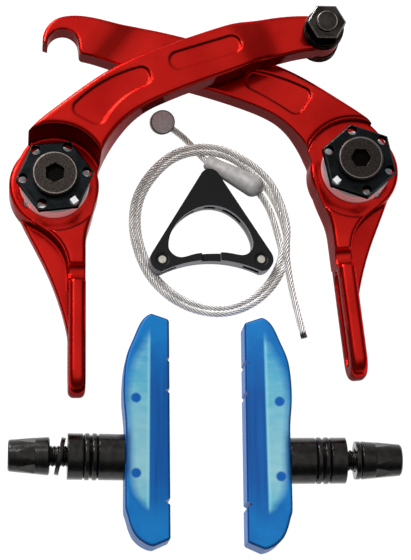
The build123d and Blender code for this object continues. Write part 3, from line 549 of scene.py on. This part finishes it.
cable_steel = Finish("cable_steel", (0.6, 0.58, 0.55), metallic=0.35, roughness=0.4)
crest = cable_steel.add("ShaderNodeAttribute", attribute_name="crest").outputs["Fac"]
strand = cable_steel.two_tone(scale=350, first=(0.78, 0.75, 0.72), last=(0.95, 0.92, 0.89))
# Painted shade where the strands turn inward and on the core between them
lit = cable_steel.mixed(cable_steel.over(crest, *GAP_SHADE_CREST), (0.06, 0.055, 0.05), strand)
burnt = cable_steel.over(cable_steel.away(TAIL[-1]), *BURNT_END)
cable_steel.paint(cable_steel.mixed(burnt, lit, (0.03, 0.022, 0.02)))

# Nipple: cast zinc, its wall painted dark as shade
nipple_grey = Finish("nipple_grey", (0.2, 0.18, 0.175), metallic=0.15, roughness=0.5, specular=0.3)
top = nipple_grey.two_tone(scale=1500, first=(0.42, 0.385, 0.38), last=(0.56, 0.52, 0.51))
nipple_grey.paint(nipple_grey.mixed(nipple_grey.upright(low=0.88, high=0.93), (0.045, 0.04, 0.038), top))
nipple_grey.bump(scale=1500, strength=0.3)

# Sleeve: moulded, painted darker round its sides as shade
sleeve_grey = Finish("sleeve_grey", (0.22, 0.22, 0.215), metallic=0.15, roughness=0.55, specular=0.3)
top = sleeve_grey.two_tone(scale=700, first=(0.5, 0.48, 0.47), last=(0.64, 0.62, 0.61))
sleeve_grey.paint(sleeve_grey.mixed(sleeve_grey.upright(low=0.1, high=0.55), (0.06, 0.06, 0.06), top))
sleeve_grey.bump(scale=900, strength=0.3)

# Cable hanger: black plates whose walls are painted paler as a reflection of light; the core's walls carry
# this painted reflection on the low side only
HANGER_BLACK = (0.005, 0.0047, 0.006)
HANGER_TOP = (0.9, 40.0)
HANGER_LOW_SIDE = (32.5, 33.5)

hanger_black = Finish("hanger_black", HANGER_BLACK, metallic=0.0, roughness=0.4, specular=0.22)
# Painted reflection on the walls
hanger_black.paint(hanger_black.mixed(hanger_black.upright(), (0.16, 0.16, 0.175), HANGER_BLACK))
hanger_black.bump(scale=2000, strength=0.1, depth=0.0001, edge=0.0003)

hanger_core = Finish("hanger_core", HANGER_BLACK, metallic=0.0, roughness=0.4, specular=0.22)
# Painted reflection on the core's walls, on the low side only
lit_low_side = hanger_core.over(hanger_core.away(HANGER_TOP, (0, 1, 0)), *HANGER_LOW_SIDE)
painted_wall = hanger_core.mixed(lit_low_side, (0.02, 0.02, 0.022), (0.2, 0.2, 0.22))
hanger_core.paint(hanger_core.mixed(hanger_core.upright(), painted_wall, (0.004, 0.004, 0.005)))

# Hanger pins: yellowish plating
pin_bright = Finish("pin_bright", (0.68, 0.64, 0.56), metallic=1.0, roughness=0.3)
pin_bright.paint(pin_bright.two_tone(scale=900, first=(0.55, 0.51, 0.44), last=(0.76, 0.72, 0.64)))

# Studs, washers and nuts of the pads: oiled black steel
stud_black = Finish("stud_black", (0.012, 0.011, 0.0105), metallic=0.9, roughness=0.26, coat=0.3,
                    coat_roughness=0.12)
stud_black.paint(stud_black.two_tone(scale=500, first=(0.012, 0.011, 0.0105), last=(0.028, 0.026, 0.0245)))
stud_black.roughen(scale=700, first=0.18, last=0.32)
stud_black.bump(scale=900, strength=0.1, edge=0.0005)

# Pad inserts
insert_pale = Finish("insert_pale", (0.25, 0.6, 0.68), metallic=0.0, roughness=0.5)
insert_pale.paint(insert_pale.two_tone(scale=400, first=(0.2, 0.52, 0.62), last=(0.32, 0.66, 0.72)))

# The pads' clear rubber, in the pad's own millimetres: the pale insert shows through as a lens
# between a curved left bound and a straight right one, with two holes
PAD_MID = (0.005, 0.19, 0.56)
PAD_TONES = ((0.004, 0.13, 0.42), (0.008, 0.18, 0.5))
PAD_DEEP = (0.004, 0.07, 0.28)
PAD_STREAK = (0.006, 0.1, 0.37)
# Painted shade on the pads' walls and on the rounded rims beside the top
PAD_WALL_SHADE = (0.004, 0.12, 0.42)
PAD_RIM_SHADE = (0.002, 0.05, 0.2)
BAND_MIDDLE = 6.0
BAND_LENGTH = (26.0, 12.0)
BAND_X = (4.0, 8.5)
LENS_Y = (-16.0, 36.0)
LENS_RIGHT = 7.3
LENS_RIGHT_SOFT = 0.25
LENS_LEFT_SOFT = (-0.6, 2.0)
LENS_END_SOFT = (0.03, 0.93)
LENS_LEFT = [
    (-16.0, 7.6),
    (-13.4, 4.8),
    (-8.7, 2.4),
    (5.1, 1.4),
    (12.1, 0.8),
    (20.5, 1.1),
    (25.4, 2.2),
    (30.0, 4.4),
    (36.0, 7.2),
]
LENS_FULL = 10.0
LENS_CLEAR = 0.88
LENS_TONES = [
    (0.0, (0.03, 0.36, 0.56)),
    (0.2, (0.27, 0.56, 0.6)),
    (0.45, (0.2, 0.49, 0.58)),
    (0.68, (0.09, 0.42, 0.57)),
    (1.0, (0.01, 0.26, 0.55)),
]
WAVE_COLOUR = (0.45, 0.75, 0.74)
WAVE_SHARE = 0.3
GLINT_COLOUR = (0.3, 0.75, 0.8)
GLINT_SHARE = 0.55
GLINT_X = (LENS_RIGHT - 1.0, LENS_RIGHT - 0.3)
HOLES = [(3.5, 15.6), (3.7, -5.3)]
HOLE_R = 1.35
HOLE_SOFT = 0.25
HOLE_BLUE = (0.004, 0.1, 0.4)
STUD_SHADOW = (0.004, 0.02, 0.09)
STUD_SHADOW_X = (2.6, 0.8)
STUD_SHADOW_Y = (7.5, 4.5)


def pad_coordinates(blue, side):
    """The pad's own x and y, in millimetres."""
    centre, turned, mirror = PADS[side]
    offset = blue.vector("SUBTRACT", blue.place(), at(*centre))["Vector"]
    inputs = {"Vector": offset, "Angle": -math.radians(turned)}
    spun = blue.add("ShaderNodeVectorRotate", inputs, rotation_type="Z_AXIS").outputs["Vector"]
    scaled = blue.vector("MULTIPLY", spun, (1000.0 * mirror, 1000.0, 1000.0))["Vector"]
    own = blue.split(scaled)
    return own["X"], own["Y"]


def pad_body(blue, x, y):
    """The blue of the rubber, with a deep streaked band along the braking side."""
    along = blue.over(blue.maths("ABSOLUTE", blue.maths("SUBTRACT", y, BAND_MIDDLE)), *BAND_LENGTH)
    band = blue.product(along, blue.over(x, *BAND_X))
    streaks = blue.over(blue.noise(scale=900, stretch=(1, 0.03, 1)), *TONE_SPREAD)
    deep = blue.mixed(streaks, PAD_DEEP, PAD_STREAK)
    return blue.mixed(band, blue.two_tone(120, *PAD_TONES), deep)


def lens_clear(blue, x, along):
    """How clearly the insert shows through at each point."""
    low, high = LENS_Y
    stops = [((y - low) / (high - low), bound) for y, bound in LENS_LEFT]
    inside = blue.maths("SUBTRACT", x, blue.curve(along, stops, LENS_FULL))
    left = blue.over(inside, *LENS_LEFT_SOFT)
    right = blue.over(x, LENS_RIGHT + LENS_RIGHT_SOFT, LENS_RIGHT - LENS_RIGHT_SOFT)
    ends = blue.product(blue.over(along, 0.0, LENS_END_SOFT[0]), blue.over(along, 1.0, LENS_END_SOFT[1]))
    return blue.product(left, right, ends, LENS_CLEAR)


def lens_pale(blue, x, along):
    """The insert's colour, with waves across it and a glint along its right bound."""
    waves = blue.over(blue.noise(scale=500, stretch=(0.35, 1, 1)), *WIDE_SPREAD)
    pale = blue.mixed(blue.product(waves, WAVE_SHARE), blue.ramp(along, LENS_TONES), WAVE_COLOUR)
    glint = blue.product(blue.over(x, *GLINT_X), GLINT_SHARE)
    return blue.mixed(glint, pale, GLINT_COLOUR)


def hole_mask(blue, x, y, centre):
    """1 inside one of the insert's holes."""
    dx = blue.maths("SUBTRACT", x, centre[0])
    dy = blue.maths("SUBTRACT", y, centre[1])
    square = blue.maths("ADD", blue.product(dx, dx), blue.product(dy, dy))
    return blue.over(square, (HOLE_R + HOLE_SOFT) ** 2, (HOLE_R - HOLE_SOFT) ** 2)


def pad_blue(side):
    """Clear blue rubber over a pale insert with two holes, with painted shade beside the stud and on its
    walls and rims.
    """
    blue = Finish(f"pad_blue_{side}", PAD_MID, metallic=0.0, roughness=0.4, specular=0.12)
    x, y = pad_coordinates(blue, side)
    along = blue.over(y, *LENS_Y)
    colour = blue.mixed(lens_clear(blue, x, along), pad_body(blue, x, y), lens_pale(blue, x, along))
    for centre in HOLES:
        colour = blue.mixed(hole_mask(blue, x, y, centre), colour, HOLE_BLUE)
    beside = blue.over(blue.maths("ABSOLUTE", y), *STUD_SHADOW_Y)
    colour = blue.mixed(blue.product(beside, blue.over(x, *STUD_SHADOW_X)), colour, STUD_SHADOW)
    # Walls and the rounded rims beside the top are painted darker blue as shade
    rim = blue.mixed(blue.upright(low=0.25, high=0.4), PAD_WALL_SHADE, PAD_RIM_SHADE)
    blue.paint(blue.mixed(blue.upright(low=0.8, high=0.95), rim, colour))
    blue.bump(scale=500, strength=0.06)
    return blue.material


# Finishes of whole slots, and of the pieces that have one of their own
by_slot = {
    finish.name: finish.material
    for finish in (
        arm_red,
        bush_steel,
        adjuster_black,
        spring_bright,
        anchor_grey,
        cable_steel,
        nipple_grey,
        sleeve_grey,
        hanger_black,
        pin_bright,
        insert_pale,
        stud_black,
    )
}
by_piece = {"hanger_core": hanger_core.material}
for side in PADS:
    by_piece[f"{side}_pivot_bolt"] = bolt_dark(side)
    by_piece[f"{side}_pad_block"] = pad_blue(side)

slots = {part["node"]: part["material_slot"] for part in frame["record"]["subparts"]}
for name, node in nodes.items():
    node.data.materials.clear()
    node.data.materials.append(by_piece[name] if name in by_piece else by_slot[slots[name]])
cable.data.materials.append(cable_steel.material)
for thread in threads:
    thread.data.materials.append(stud_black.material)

# Floor, a pure white that throws no shadow
FLOOR_HALF = 3
FLOOR_Z = -0.0001

floor_mesh = bpy.data.meshes.new("floor")
corners = [(x * FLOOR_HALF, y * FLOOR_HALF, 0) for x, y in ((-1, -1), (1, -1), (1, 1), (-1, 1))]
floor_mesh.from_pydata(corners, [], [(0, 1, 2, 3)])
floor = show("floor", floor_mesh)
floor.location.z = FLOOR_Z
floor_white = Finish("floor_white", (0.1, 0.1, 0.1), metallic=0.0, roughness=0.9, specular=0.0, glow=1.0)
floor_mesh.materials.append(floor_white.material)

# Square soft lights that aim at the middle: place and side in metres, power in watts
LIGHTS = {"key": ((-0.38, 0.42, 0.8), 0.2, 4.5), "rim": ((-0.4, 0.72, 0.36), 0.25, 7.0)}

for name, (place, size, power) in LIGHTS.items():
    data = bpy.data.lights.new(name, "AREA")
    data.shape = "SQUARE"
    data.size = size
    data.energy = power
    lamp = show(name, data)
    lamp.location = place
    lamp.rotation_euler = (-Vector(place)).to_track_quat("-Z", "Y").to_euler()

SKY = [(0.0, 0.45), (0.18, 0.12), (0.35, 0.08), (0.62, 0.1), (0.82, 0.25), (0.92, 0.68), (1.0, 0.76)]
BEHIND_Y = (0.3, 0.8)
BEHIND_LIGHT = 0.45

world = bpy.data.worlds.new("surroundings")
world.use_nodes = True
sky = Nodes(world.node_tree)
background = world.node_tree.nodes["Background"].inputs
background["Color"].default_value = opaque(WHITE)
direction = sky.split(sky.add("ShaderNodeTexCoord").outputs["Generated"])
by_height = sky.ramp(direction["Z"], [(position, (value, value, value)) for position, value in SKY])
behind = sky.over(direction["Y"], *BEHIND_Y, 0.0, BEHIND_LIGHT)
sky.feed(background["Strength"], sky.maths("ADD", by_height, behind))
bpy.context.scene.world = world
bpy.context.scene.view_settings.view_transform = "Standard"
